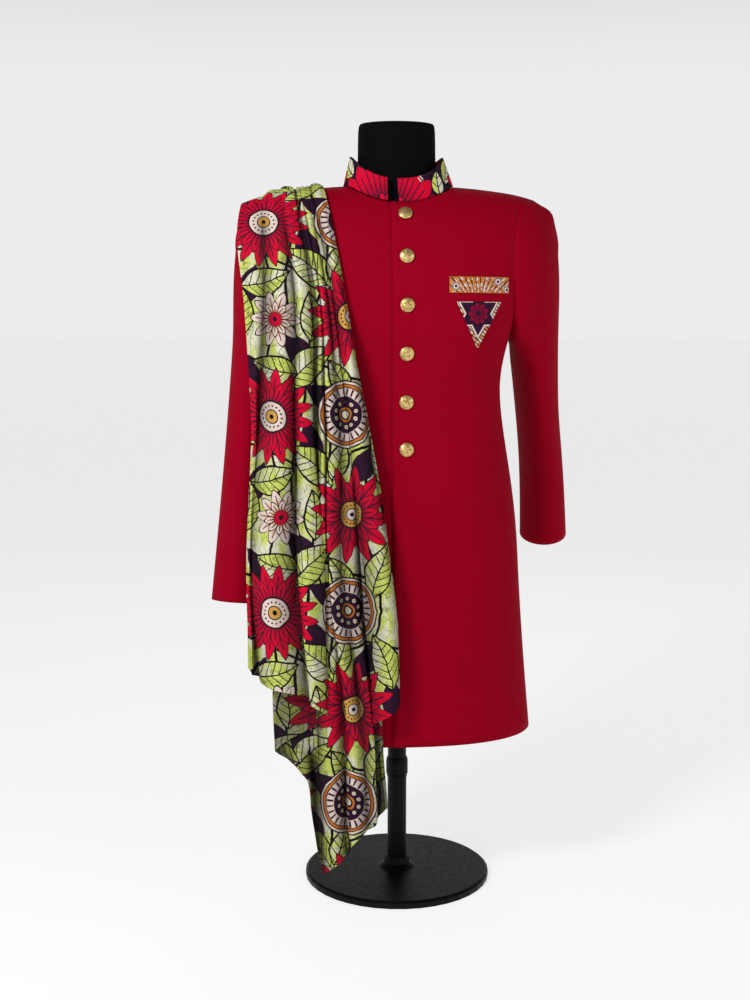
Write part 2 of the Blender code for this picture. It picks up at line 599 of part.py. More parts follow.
def form_rings():
    """Rings of the torso from its foot up to the neckline, each a closed loop of points."""
    across = np.linspace(0, 1, FORM_COLUMNS + 1)
    share = FORM_NECK_COLUMNS / FORM_COLUMNS
    foot = (FORM_BOTTOM - HEM_Z) / (UNDERARM_Z - HEM_Z)
    levels = np.concatenate([np.linspace(foot, 1, FORM_LOWER_ROWS + 1),
                             1 + np.arange(1, UPPER_ROWS + 1) / UPPER_ROWS])
    quarters = []
    for side, depth in ((1, "front"), (1, "back"), (-1, "back"), (-1, "front")):
        panel = Panel(side, depth, 0.0, share, end_inset=FORM_SIDE_EASE)
        points, normals = panel.grid(across, levels)
        risen = smooth((levels - SEAM_LEVELS[0]) / SEAM_LEVELS[1])
        outward = smooth((across - SEAM_ACROSS[0]) / SEAM_ACROSS[1])
        near_seam = risen[:, None] * outward[None, :]
        ease = CLOTH + FORM_EASE + (FORM_TOUCH - FORM_EASE) * near_seam
        points = points - normals * ease[..., None]
        points[..., 1] -= panel.facing * SEAM / 2
        quarters.append(points)
    for points in quarters:
        points[0, :, 2] = FORM_BOTTOM
        points[:, 0, 0] = 0.0
        points[-1, FORM_NECK_COLUMNS:, 1] = 0.0
    return quarters


def form_torso():
    quarters = form_rings()
    order = [quarters[0], quarters[1][:, ::-1], quarters[2], quarters[3][:, ::-1]]
    grid = np.concatenate(order, axis=1)
    rows, cols, _ = grid.shape
    points = [tuple(p) for p in grid.reshape(-1, 3)]
    faces = []
    for r in range(rows - 1):
        for c in range(cols):
            n = (c + 1) % cols
            faces.append((r * cols + c, r * cols + n, (r + 1) * cols + n, (r + 1) * cols + c))
    faces.append(tuple(range(cols)))
    # The neck rises from the neckline's own points to a round column and a flat cap.
    neck_ids = []
    for c in range(cols):
        quarter, step = divmod(c, FORM_COLUMNS + 1)
        from_centre = step if quarter % 2 == 0 else FORM_COLUMNS - step
        if from_centre <= FORM_NECK_COLUMNS:
            neck_ids.append(c)
    ring = grid[-1][neck_ids]
    centre = np.array(NECK_CENTRE)
    angle = np.arctan2(ring[:, 1] - centre[1], ring[:, 0] - centre[0])
    column = centre + np.array(NECK_HALF) * np.stack([np.cos(angle), np.sin(angle)], axis=-1)
    drop = ring[:, 2] - ring[:, 2].max()
    loops = [(ring[:, :2] + (column - ring[:, :2]) * share, height + drop * (1.0 - share))
             for share, height in NECK_RINGS]
    loops.append((centre + (column - centre) * NECK_CAP, NECK_TOP + 0 * drop))
    last = [(rows - 1) * cols + c for c in neck_ids]
    for flat, level in loops:
        start = len(points)
        points += [(p[0], p[1], z) for p, z in zip(flat, level)]
        here = list(range(start, start + len(ring)))
        for k in range(len(ring)):
            n = (k + 1) % len(ring)
            faces.append((last[k], last[n], here[n], here[k]))
        last = here
    faces.append(tuple(last))
    me = mesh_of("form_torso", points, faces, merge=0.00002)
    return finish("form_torso", me, FORM_BLACK, 0.85, smooth_angle=50)


# Radius and height pairs, turned round the pole's axis.
BASE_PROFILE = ((0.0, 0.0), (BASE_RADIUS - 0.001, 0.0), (BASE_RADIUS, 0.001),
                (BASE_RADIUS, BASE_THICK - 0.003), (BASE_RADIUS - 0.004, BASE_THICK),
                (0.030, BASE_THICK + 0.001), (0.021, 0.020), (0.0185, HUB_TOP), (0.0, HUB_TOP))
KNOB_NECK = 0.0165
KNOB_PROFILE = ((0.0, KNOB_Z[0]), (KNOB_NECK, KNOB_Z[0]), (KNOB_NECK, KNOB_Z[0] + 0.003),
                (KNOB_RADIUS, KNOB_Z[0] + 0.006), (KNOB_RADIUS, KNOB_Z[1] - 0.005), (KNOB_NECK, KNOB_Z[1]),
                (0.0, KNOB_Z[1]))
LOWER_POLE_RADIUS = POLE_RADIUS + 0.0005
BASE_SIDES = 40
POLE_SIDES = 20


def tube(radius, low, high):
    return ((0.0, low), (radius, low), (radius, high), (0.0, high))


def stand():
    pieces = (
        ("base", BASE_PROFILE, BASE_SIDES, 0.45),
        ("pole_lower", tube(LOWER_POLE_RADIUS, HUB_TOP + SEAM, KNOB_Z[0] - SEAM), POLE_SIDES, 0.4),
        ("height_knob", KNOB_PROFILE, POLE_SIDES, 0.4),
        ("pole_upper", tube(POLE_RADIUS, KNOB_Z[1] + SEAM, FORM_BOTTOM - SEAM), POLE_SIDES, 0.4),
    )
    for name, profile, sides, roughness in pieces:
        finish(name, turned(name, profile, sides), FORM_BLACK, roughness, smooth_angle=30)


left_panel = front("front_left", left_front)
front("front_right", right_front)
back()
sleeve("sleeve_left", 1, left_front, left_back, SLEEVE_LEFT)
sleeve("sleeve_right", -1, right_front, right_back, SLEEVE_RIGHT)
collar()
pocket_welt(left_panel)
chest_patch(left_panel)
buttons(left_panel)
sash()
form_torso()
stand()
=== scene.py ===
from math import cos, exp, pi, radians, sin

import bpy
import numpy as np
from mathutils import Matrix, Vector
from mathutils.bvhtree import BVHTree


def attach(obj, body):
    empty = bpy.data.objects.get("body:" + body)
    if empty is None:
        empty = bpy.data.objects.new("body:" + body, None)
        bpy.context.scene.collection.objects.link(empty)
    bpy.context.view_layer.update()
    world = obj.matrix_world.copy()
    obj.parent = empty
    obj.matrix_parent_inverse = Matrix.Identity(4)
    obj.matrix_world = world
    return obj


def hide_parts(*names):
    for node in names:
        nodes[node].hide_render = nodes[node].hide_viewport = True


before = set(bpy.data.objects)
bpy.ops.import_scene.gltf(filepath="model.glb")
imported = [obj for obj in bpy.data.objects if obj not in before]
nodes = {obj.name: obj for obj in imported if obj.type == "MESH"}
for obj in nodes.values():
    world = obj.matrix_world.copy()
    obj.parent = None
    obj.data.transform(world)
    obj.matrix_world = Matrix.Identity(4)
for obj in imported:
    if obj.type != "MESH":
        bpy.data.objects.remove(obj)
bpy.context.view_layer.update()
rng = np.random.default_rng(11)


# Small helpers for numbers
def ease(t):
    t = np.clip(t, 0.0, 1.0)
    return t * t * (3.0 - 2.0 * t)


def through(stations, values, at):
    # smooth curve through a table's values, flat beyond its ends
    s = np.asarray(stations, float)
    v = np.asarray(values, float)
    at = np.clip(at, min(s[0], s[-1]), max(s[0], s[-1]))
    if s[0] > s[-1]:
        s, v = s[::-1], v[::-1]
    slope = np.gradient(v, s)
    k = np.clip(np.searchsorted(s, at, side="right") - 1, 0, len(s) - 2)
    step = s[k + 1] - s[k]
    t = (at - s[k]) / step
    return ((1 + 2 * t) * (1 - t) ** 2 * v[k] + t * (1 - t) ** 2 * step * slope[k]
            + t * t * (3 - 2 * t) * v[k + 1] + t * t * (t - 1) * step * slope[k + 1])


def unit(v):
    return v / np.maximum(np.linalg.norm(v, axis=-1, keepdims=True), 1e-12)


def tint(red, green, blue):
    # a screen colour, 0 to 255, as the linear colour that a shader takes
    parts = [c / 255 for c in (red, green, blue)]
    return tuple(c / 12.92 if c <= 0.04045 else ((c + 0.055) / 1.055) ** 2.4 for c in parts) + (1.0,)


# Shader maths: a Val is a socket, and arithmetic on it adds nodes
class Val:
    def __init__(self, socket):
        self.socket = socket
        self.tree = socket.id_data

    def node(self, kind, settings, values, out=0):
        made = self.tree.nodes.new(kind)
        for key, value in settings.items():
            setattr(made, key, value)
        for key, value in values.items():
            if isinstance(value, Val):
                self.tree.links.new(value.socket, made.inputs[key])
            else:
                made.inputs[key].default_value = value
        return Val(made.outputs[out])

    def math(self, operation, *values):
        return self.node("ShaderNodeMath", {"operation": operation}, dict(enumerate(values)))

    def sine(self):
        return self.math("SINE", self)

    def cosine(self):
        return self.math("COSINE", self)

    def root(self):
        return self.math("SQRT", self)

    def fraction(self):
        return self.math("FRACT", self)

    def wrapped(self, repeat):
        return self.math("WRAP", self, repeat / 2, -repeat / 2)

    def __add__(self, other):
        return self.math("ADD", self, other)

    __radd__ = __add__

    def __sub__(self, other):
        return self.math("SUBTRACT", self, other)

    def __rsub__(self, other):
        return self.math("SUBTRACT", other, self)

    def __mul__(self, other):
        return self.math("MULTIPLY", self, other)

    __rmul__ = __mul__

    def __truediv__(self, other):
        return self.math("DIVIDE", self, other)

    def __pow__(self, other):
        return self.math("POWER", self, other)

    def __abs__(self):
        return self.math("ABSOLUTE", self)

    def __or__(self, other):
        return self.math("MAXIMUM", self, other)

    def ramp(self, start, end, low=0.0, high=1.0):
        return self.node("ShaderNodeMapRange", {"interpolation_type": "SMOOTHSTEP"},
                         {0: self, 1: start, 2: end, 3: low, 4: high})

    def under(self, edge, soft=0.0004):
        return self.ramp(edge + soft, edge - soft)

    def near(self, place, width, soft=0.0003):
        return abs(self - place).under(width / 2, soft)

    def mix(self, below, above):
        # self is the mask that lays one colour over another
        return self.node("ShaderNodeMix", {"data_type": "RGBA"}, {0: self, 6: below, 7: above}, out=2)

    def noise(self, scale, detail=2.0):
        return self.node("ShaderNodeTexNoise", {"noise_dimensions": "3D"},
                         {"Vector": self, "Scale": scale, "Detail": detail})

    def parts(self):
        return [self.node("ShaderNodeSeparateXYZ", {}, {0: self}, out=k) for k in range(3)]

    def joined(self, x, y, z=0.0):
        return self.node("ShaderNodeCombineXYZ", {}, {0: x, 1: y, 2: z})


class Finish:
    # a material with its Principled shader and its coordinates
    def __init__(self, name, **fixed):
        self.material = bpy.data.materials.new(name)
        self.material.use_nodes = True
        self.tree = self.material.node_tree
        self.shader = self.tree.nodes["Principled BSDF"]
        coords = self.tree.nodes.new("ShaderNodeTexCoord")
        self.place = Val(coords.outputs["Object"])
        self.flat = Val(coords.outputs["UV"])
        for key, value in fixed.items():
            self.shader.inputs[key.replace("_", " ")].default_value = value

    def feed(self, name, value):
        self.tree.links.new(value.socket, self.shader.inputs[name])

    def bump(self, height, strength, distance):
        self.feed("Normal", height.node("ShaderNodeBump", {}, {"Height": height, "Strength": strength,
                                                               "Distance": distance}))

    def attribute(self, name):
        made = self.tree.nodes.new("ShaderNodeAttribute")
        made.attribute_name = name
        return Val(made.outputs["Fac"])


# Printed cotton: motifs drawn in metres on the flat cloth
ink = {
    "lime": tint(196, 207, 100),
    "cream": tint(216, 214, 190),
    "line": tint(16, 11, 17),
    "plum": tint(44, 14, 42),
    "crimson": tint(203, 0, 44),
    "deep": tint(112, 0, 38),
    "wine": tint(146, 2, 48),
    "orange": tint(190, 110, 40),
    "pearl": tint(222, 202, 192),
    "gold": tint(206, 156, 76),
}


class Motif:
    # polar coordinates about a centre, with the repeat down the cloth
    def __init__(self, u, v, centre, repeat=None):
        self.x = u - centre[0]
        self.y = v - centre[1]
        if repeat:
            self.y = self.y.wrapped(repeat)
        self.radius = (self.x * self.x + self.y * self.y).root()
        self.angle = self.x.math("ARCTAN2", self.y, self.x) / (2 * pi)

    def fold(self, count, turn=0.0):
        # 0 along the middle of each of count sectors, 1 between two of them
        return abs((self.angle * count + turn).fraction() - 0.5) * 2.0

    def dots(self, colour, ring, count, size, ink1, ink2):
        across = self.fold(count) * (pi * ring / count)
        along = self.radius - ring
        away = (across * across + along * along).root()
        colour = away.under(size).mix(colour, ink1)
        return away.under(size * 0.45).mix(colour, ink2)

    def drop(self, fold, count, middle, length, width):
        # under 1 inside an oval that lies along each sector
        across = fold * self.radius * (pi / count / width)
        along = (self.radius - middle) / length
        return across * across + along * along


def daisy(colour, u, v, centre, repeat, spec):
    # two rounds of pointed petals about a ringed heart
    m = Motif(u, v, centre, repeat)
    count, reach = spec["petals"], spec["reach"]
    petal, shade, line = (ink[name] for name in spec["paint"])
    for share, turn in ((1.0, 0.0), (spec["inner"], 0.5)):
        fold = m.fold(count, turn + spec["turn"])
        size = reach * share
        edge = m.radius - size * (1.0 - spec["notch"] * fold ** spec["point"])
        inside = edge.under(0.0)
        colour = inside.mix(colour, petal)
        # the petals darken towards the heart, with a line along each
        glow = m.radius.ramp(size * 0.35, size * 0.75, 0.85, 0.0) * inside
        colour = glow.mix(colour, shade)
        across = m.radius * (pi / count)
        vein = (fold * across).under(spec["line"] * 0.34) * edge.under(-size * 0.20)
        gap = ((1.0 - fold) * across).under(spec["line"] * 0.36) * inside
        colour = (edge.near(0.0, spec["line"]) | gap | vein).mix(colour, line)
    for share, name in spec["rings"]:
        colour = m.radius.under(spec["heart"] * share).mix(colour, ink[name])
    return m.dots(colour, spec["heart"] * 0.74, 16, spec["heart"] * 0.07, ink["line"], ink["line"])


def wheel(colour, u, v, centre, repeat, spec):
    # a round medal of rings, spokes and dots
    m = Motif(u, v, centre, repeat)
    reach = spec["reach"]
    for share, name in spec["rings"]:
        colour = m.radius.under(reach * share).mix(colour, ink[name])
    low, high = (reach * share for share in spec["band"])
    spokes = m.fold(spec["spokes"]).under(0.34, 0.10) * m.radius.near((low + high) / 2, high - low)
    colour = spokes.mix(colour, ink["plum"])
    return m.dots(colour, reach * 0.36, spec["dots"], reach * 0.055, ink["cream"], ink["orange"])


def blade(u, v, repeat, spec):
    # along and across a bent leaf, and the distance from its edge
    x, y, turn, length, width, bend = spec
    dx, dy = u - x, (v - y).wrapped(repeat)
    c, s = cos(radians(turn)), sin(radians(turn))
    along = (dx * c + dy * s) * (2 / length)
    across = dy * c - dx * s + (along * along - 1.0) * bend
    span = (1.0 - along * along) * (1.0 - along * 0.30) * (width / 2)
    return along, across, (abs(across) - span) | (abs(along) - 1.0) * length


def leaf(colour, u, v, repeat, spec, light):
    along, across, edge = blade(u, v, repeat, spec)
    body = edge.under(0.0)
    colour = body.mix(colour, across.ramp(-0.003, 0.005).mix(light, ink["lime"]))
    slope = along * (spec[3] / 2) - abs(across) * 0.75
    vein = abs((slope / printPlan["veins"]).fraction() - 0.5).under(0.075, 0.03)
    lines = (across.near(0.0, 0.0022) | vein) * body
    lines = lines | edge.near(0.0, 0.0031)
    return lines.mix(colour, ink["line"])


printPlan = {
    "repeat": 0.292,
    "daisyA": {"petals": 12, "reach": 0.074, "inner": 0.66, "notch": 0.44, "point": 1.10, "turn": 0.25,
               "heart": 0.0190, "line": 0.0028, "paint": ("crimson", "deep", "plum"),
               "rings": ((1.12, "line"), (1.0, "gold"), (0.50, "line"), (0.42, "pearl"), (0.16, "line"))},
    "daisyB": {"petals": 16, "reach": 0.072, "inner": 0.72, "notch": 0.36, "point": 1.25, "turn": 0.1,
               "heart": 0.0215, "line": 0.0026, "paint": ("crimson", "wine", "plum"),
               "rings": ((1.12, "line"), (1.0, "pearl"), (0.50, "line"), (0.42, "gold"), (0.16, "line"))},
    "aster": {"petals": 10, "reach": 0.042, "inner": 0.62, "notch": 0.40, "point": 1.4, "turn": 0.4,
              "heart": 0.0100, "line": 0.0022, "paint": ("pearl", "orange", "line"),
              "rings": ((1.12, "line"), (1.0, "crimson"), (0.40, "plum"))},
    "wheel": {"reach": 0.051, "spokes": 24, "band": (0.56, 0.76), "dots": 10,
              "rings": ((1.0, "line"), (0.955, "pearl"), (0.90, "line"), (0.87, "orange"), (0.80, "line"),
                        (0.77, "pearl"), (0.54, "line"), (0.51, "plum"), (0.22, "orange"), (0.16, "line"),
                        (0.11, "cream"))},
    # a half drop: each column has the other's flowers, half a repeat lower
    "flowers": (("daisyA", (0.074, 0.010)), ("daisyB", (0.212, 0.155)), ("aster", (0.200, 0.006))),
    "wheelPlace": (0.082, 0.158),
    "veins": 0.0115,
    "wobble": 0.0030,
    # fine cracks in the dye: scale, detail, level, width, softness
    "cracks": ((62.0, 2.0, 0.5, 0.010, 0.008), (34.0, 1.0, 0.52, 0.006, 0.005)),
    "crackDepth": 0.55,
    # u, v, turn, length, width, bend
    "leaves": (
        (0.146, 0.080, 38, 0.096, 0.048, 0.007),
        (0.144, -0.066, 142, 0.096, 0.048, -0.007),
        (0.022, 0.084, 70, 0.088, 0.044, 0.006),
        (0.024, -0.072, 112, 0.088, 0.044, -0.006),
        (0.214, 0.066, 165, 0.080, 0.042, 0.005),
        (0.204, -0.064, 15, 0.080, 0.042, -0.005),
        (0.096, -0.084, 60, 0.070, 0.036, 0.004),
        (0.098, 0.092, 108, 0.066, 0.034, 0.004),
        (0.262, 0.020, 95, 0.084, 0.042, 0.005),
        (0.144, 0.010, 88, 0.074, 0.036, 0.004),
    ),
    "darkLeaves": (
        (0.150, 0.112, 82, 0.080, 0.040, 0.006),
        (0.170, -0.044, 55, 0.080, 0.040, 0.006),
        (0.052, 0.088, 130, 0.074, 0.036, 0.005),
        (0.120, -0.104, 20, 0.074, 0.038, -0.006),
        (0.244, 0.058, 120, 0.070, 0.036, 0.005),
        (0.242, -0.074, 60, 0.070, 0.036, 0.005),
        (0.010, 0.030, 85, 0.066, 0.034, 0.004),
    ),
    # middle, swing, phase, thickness: down the cloth, and across it
    "stems": ((0.168, 0.014, 0.4, 0.0050), (0.128, 0.018, 2.3, 0.0042), (0.214, 0.012, 4.0, 0.0044),
              (0.040, 0.014, 1.2, 0.0042)),
    "twigs": ((0.094, 0.018, 0.6, 0.0042), (-0.070, 0.014, 3.4, 0.0046)),
    "twigWaves": 29.0,
}


def floralPrint(u, v):
    plan = printPlan
    repeat = plan["repeat"]
    flat = u.joined(u, v)
    wobble = (flat.noise(70.0) - 0.5) * plan["wobble"]
    u, v = u + wobble, v + wobble
    mottle = flat.joined(u, v * 0.45).noise(55.0, 3.0).ramp(0.40, 0.60)
    colour = mottle.mix(ink["lime"], ink["cream"])
    for spec in plan["darkLeaves"]:
        colour = blade(u, v, repeat, spec)[2].under(0.0).mix(colour, ink["plum"])
    for middle, swing, start, thick in plan["stems"]:
        wave = (v * (2 * pi / repeat) + start).sine()
        colour = (u - middle - wave * swing).near(0.0, thick).mix(colour, ink["line"])
    for middle, swing, start, thick in plan["twigs"]:
        wave = (u * plan["twigWaves"] + start).sine()
        colour = (v - wave * swing - middle).wrapped(repeat).near(0.0, thick).mix(colour, ink["line"])
    light = flat.noise(40.0).ramp(0.35, 0.65).mix(ink["cream"], ink["lime"])
    for spec in plan["leaves"]:
        colour = leaf(colour, u, v, repeat, spec, light)
    wide, narrow = (abs(flat.noise(scale, detail) - level).under(width, soft)
                    for scale, detail, level, width, soft in plan["cracks"])
    colour = ((wide | narrow) * plan["crackDepth"]).mix(colour, ink["line"])
    colour = wheel(colour, u, v, plan["wheelPlace"], repeat, plan["wheel"])
    for name, place in plan["flowers"]:
        colour = daisy(colour, u, v, place, repeat, plan[name])
    return colour


# The cotton under the print
cottonUser = {
    "weave": 1100.0,
    "dull": tint(60, 50, 50),
    "dullShare": 0.10,
    "roughness": (0.64, 0.80),
    "bump": (0.12, 0.0004),
    "stitch": (0.0065, 0.0010),
}


def cottonFinish(name, colourOf):
    user = cottonUser
    finish = Finish(name, Specular_IOR_Level=0.06)
    grain = finish.place.noise(user["weave"], 1.0)
    dull = grain.ramp(0.3, 0.7, 0.0, user["dullShare"])
    finish.feed("Base Color", dull.mix(colourOf(finish), user["dull"]))
    finish.feed("Roughness", finish.place.noise(30.0).ramp(0.3, 0.7, *user["roughness"]))
    finish.bump(grain, *user["bump"])
    return finish.material


def sashPrint(finish):
    u, v = finish.flat.parts()[:2]
    colour = floralPrint(u, v - sashUser["rollZ"])
    stitch = finish.attribute("hem").near(*cottonUser["stitch"]) * 0.5
    colour = stitch.mix(colour, ink["line"])
    # painted shade: the print is darkened towards the line colour down in the pleats and under the hem over the
    # tail
    return (finish.attribute("paintedShade") * sashUser["paintedShade"]).mix(colour, ink["line"])


# Building meshes
def objectOf(name, mesh, material, sharp=42.0):
    mesh.materials.clear()
    mesh.materials.append(material)
    mesh.shade_smooth()
    mesh.set_sharp_from_angle(angle=radians(sharp))
    made = bpy.data.objects.new(name, mesh)
    bpy.context.scene.collection.objects.link(made)
    return made


def shell(name, outer, inner, material, flat, extra):
    # closed thin wall between two grids of points, with the flat cloth's coordinates on it
    rows, cols, _ = outer.shape
    ids = np.arange(rows * cols).reshape(rows, cols)
    behind = ids + rows * cols
    quads = []

    def strip(a, b, c, d):
        quads.append(np.stack([a.ravel(), b.ravel(), c.ravel(), d.ravel()], axis=1))

    strip(ids[:-1, :-1], ids[1:, :-1], ids[1:, 1:], ids[:-1, 1:])
    strip(behind[:-1, :-1], behind[:-1, 1:], behind[1:, 1:], behind[1:, :-1])
    for a, b in ((ids[0], behind[0]), (behind[-1], ids[-1])):
        strip(a[:-1], a[1:], b[1:], b[:-1])
    for a, b in ((behind[:, 0], ids[:, 0]), (ids[:, -1], behind[:, -1])):
        strip(a[:-1], a[1:], b[1:], b[:-1])
    faces = np.concatenate(quads)
    points = np.concatenate([outer.reshape(-1, 3), inner.reshape(-1, 3)])
    mesh = bpy.data.meshes.new(name)
    mesh.from_pydata(points.tolist(), [], faces.tolist())
    mesh.validate()
    corner = np.zeros(len(mesh.loops), int)
    mesh.loops.foreach_get("vertex_index", corner)
    both = np.concatenate([flat.reshape(-1, 2)] * 2)
    mesh.uv_layers.new(name="flat").data.foreach_set("uv", both[corner].ravel())
    for key, values in extra.items():
        spot = mesh.attributes.new(key, "FLOAT", "POINT")
        spot.data.foreach_set("value", np.concatenate([values.ravel()] * 2))
    return objectOf(name, mesh, material)


def turnedOut(piece):
    # faces outwards, found from the shell's signed volume
    bpy.ops.object.select_all(action="DESELECT")
    piece.select_set(True)
    bpy.context.view_layer.objects.active = piece
    bpy.ops.object.mode_set(mode="EDIT")
    bpy.ops.mesh.select_all(action="SELECT")
    bpy.ops.mesh.normals_make_consistent(inside=False)
    bpy.ops.mesh.select_all(action="DESELECT")
    bpy.ops.object.mode_set(mode="OBJECT")


def smoothCopy(name, node, material, levels=2, sharp=42.0):
    # the CAD node's own surface, welded, squared up and subdivided with its rims kept
    mesh = nodes[node].data.copy()
    mesh.name = name
    piece = objectOf(name, mesh, material, sharp)
    bpy.ops.object.select_all(action="DESELECT")
    piece.select_set(True)
    bpy.context.view_layer.objects.active = piece
    bpy.ops.object.mode_set(mode="EDIT")
    bpy.ops.mesh.select_mode(type="EDGE")
    bpy.ops.mesh.select_all(action="SELECT")
    bpy.ops.mesh.remove_doubles(threshold=0.00001)
    bpy.ops.mesh.tris_convert_to_quads(face_threshold=radians(30), shape_threshold=radians(120))
    bpy.ops.mesh.normals_make_consistent(inside=False)
    bpy.ops.mesh.select_all(action="DESELECT")
    bpy.ops.mesh.edges_select_sharp(sharpness=radians(sharp))
    bpy.ops.transform.edge_crease(value=1.0)
    bpy.ops.mesh.select_all(action="DESELECT")
    bpy.ops.object.mode_set(mode="OBJECT")
    divide = piece.modifiers.new("smooth", "SUBSURF")
    divide.levels = divide.render_levels = levels
    bpy.ops.object.modifier_apply(modifier=divide.name)
    return piece


def placed(piece, node):
    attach(piece, "root")
    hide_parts(node)


# The suiting: matte crimson wool blend with a fine twill
suitUser = {
    "colour": tint(142, 0, 27),
    "dark": tint(128, 0, 24),
    "roughness": (0.75, 0.85),
    "sheen": 0.02,
    "twill": 950.0,
    "cloud": 0.16,
    "levels": 2,
    # the padded corner of the left shoulder: its place in x and z, reach, push out and up
    "corner": ((0.246, 1.077), 0.017, (0.0060, 0.0030)),
    "cornerSeam": (0.213, 0.014),
    # how near a sleeve's end is drawn up to the armhole, and the space left there
    "seam": (0.0016, 0.0001),
}


def suitFinish():
    finish = Finish("red suiting", Specular_IOR_Level=0.03, Sheen_Weight=suitUser["sheen"], Sheen_Roughness=0.5,
                    Sheen_Tint=tint(220, 60, 70))
    x, y, z = finish.place.parts()
    rib = ((x + y * 0.6 + z * 0.8) * (pi * suitUser["twill"])).sine()
    cloud = finish.place.noise(9.0).ramp(0.35, 0.65, 0.0, suitUser["cloud"])
    finish.feed("Base Color", cloud.mix(suitUser["colour"], suitUser["dark"]))
    finish.feed("Roughness", finish.place.noise(60.0).ramp(0.3, 0.7, *suitUser["roughness"]))
    finish.bump(rib * 0.5 + finish.place.noise(700.0, 1.0), 0.05, 0.0004)
    return finish.material


suiting = suitFinish()
# name: cut width and length
suitCuts = {
    "front_left": (0.32, 0.91),
    "front_right": (0.32, 0.91),
    "back": (0.58, 0.91),
    "sleeve_left": (0.33, 0.62),
    "sleeve_right": (0.33, 0.66),
}
suitPieces = {}
for name in suitCuts:
    piece = smoothCopy("suit_" + name, name, suiting, suitUser["levels"])
    placed(piece, name)
    suitPieces[name] = piece
    print("suit", name, len(piece.data.polygons))


def closeSeam(piece, others):
    # the end of a sleeve comes up to the armhole
    reach, keep = suitUser["seam"]
    trees = [BVHTree.FromPolygons([vertex.co for vertex in other.data.vertices],
                                  [face.vertices for face in other.data.polygons]) for other in others]
    for vertex in piece.data.vertices:
        hits = [tree.find_nearest(vertex.co, reach) for tree in trees]
        hits = [hit for hit in hits if hit[0] is not None]
        if hits:
            spot, _, _, away = min(hits, key=lambda hit: hit[3])
            if away > keep:
                vertex.co += (spot - vertex.co) * (1.0 - keep / away)


def squareShoulder(piece):
    (cornerX, cornerZ), reach, push = suitUser["corner"]
    seam, fade = suitUser["cornerSeam"]
    for vertex in piece.data.vertices:
        x, _, z = vertex.co
        share = exp(-((x - cornerX) ** 2 + (z - cornerZ) ** 2) / reach ** 2)
        share *= min(max((x - seam) / fade, 0.0), 1.0)
        vertex.co.x += push[0] * share
        vertex.co.z += push[1] * share


squareShoulder(suitPieces["sleeve_left"])
for side in ("left", "right"):
    closeSeam(suitPieces["sleeve_" + side], (suitPieces["front_" + side], suitPieces["back"]))


# The sash: one pleated length, its fold lines as the CAD's
sashUser = {
    "cloth": 0.0014,
    "heights": (1.105, 1.045, 0.934, 0.787, 0.637, 0.486, 0.351, 0.259, 0.167, 0.074),
    "rollZ": 0.900,
    "rollPower": 2.4,
    "behind": 32,
    "shoulder": ((0.0, 0.086, 0.133, 0.212, 0.245), (1.114, 1.111, 1.107, 1.092, 1.078)),
    "restZ": (0.900, 0.787, 0.637, 0.486, 0.351, 0.259, 0.064),
    "rest": ((0.1345, 0.1345, 0.1390, 0.1460, 0.1540, 0.1590, 0.1630),
             (0.1165, 0.1190, 0.1260, 0.1330, 0.1400, 0.1440, 0.1480),
             (0.0950, 0.0990, 0.1050, 0.1120, 0.1180, 0.1210, 0.1250)),
    "restX": (0.020, 0.130, 0.235),
    # its back: depth there, and how much more the folds stand out than up on the roll
    "backDepth": 0.110,
    "rollLean": 1.3,
    "topGap": 0.0005,
    "rows": (8, 26, 92),
    "steps": 7,
    # how far a fold line strays, waves in a metre, and phase from one fold to the next
    "sway": (0.0016, 3.1, 0.07),
    "swell": (0.09, 2.3, -0.05, 0.3),
    # the height where each starts to grow, and the run to its whole size
    "strayFrom": (0.90, 0.15),
    "pleatFrom": (1.05, 0.34),
    "driftFrom": (0.95, 0.20),
    # the painted shade in the pleats grows from this height down
    "paintedShadeFrom": (1.10, 0.08),
    "creaseFrom": (1.06, 0.15),
    "tailFrom": (0.275, 0.03),
    "pleat": (0.0030, 0.0200),
    "pleatShape": 0.75,
    "drift": (0.10, 1.7, 0.23),
    "uneven": (0.20, 2.1, 0.37, 0.2),
    "tail": (11, 14),
    # strength of the painted shade in the pleats, and how wide it spreads from each hollow
    "paintedShade": 0.92,
    "paintedShadeShape": 0.52,
    # painted shadow on the tail: the height, slope and start of the hem over it, then the shadow's reach and
    # darkness
    "overHem": (0.256, 0.68, 0.196),
    "paintedHemShadow": (0.018, 0.85),
    "folded": range(7, 10),
    "shift": -0.045,
    "stretch": 1.35,
    "crease": 0.0020,
    "creasePitch": 0.019,
}
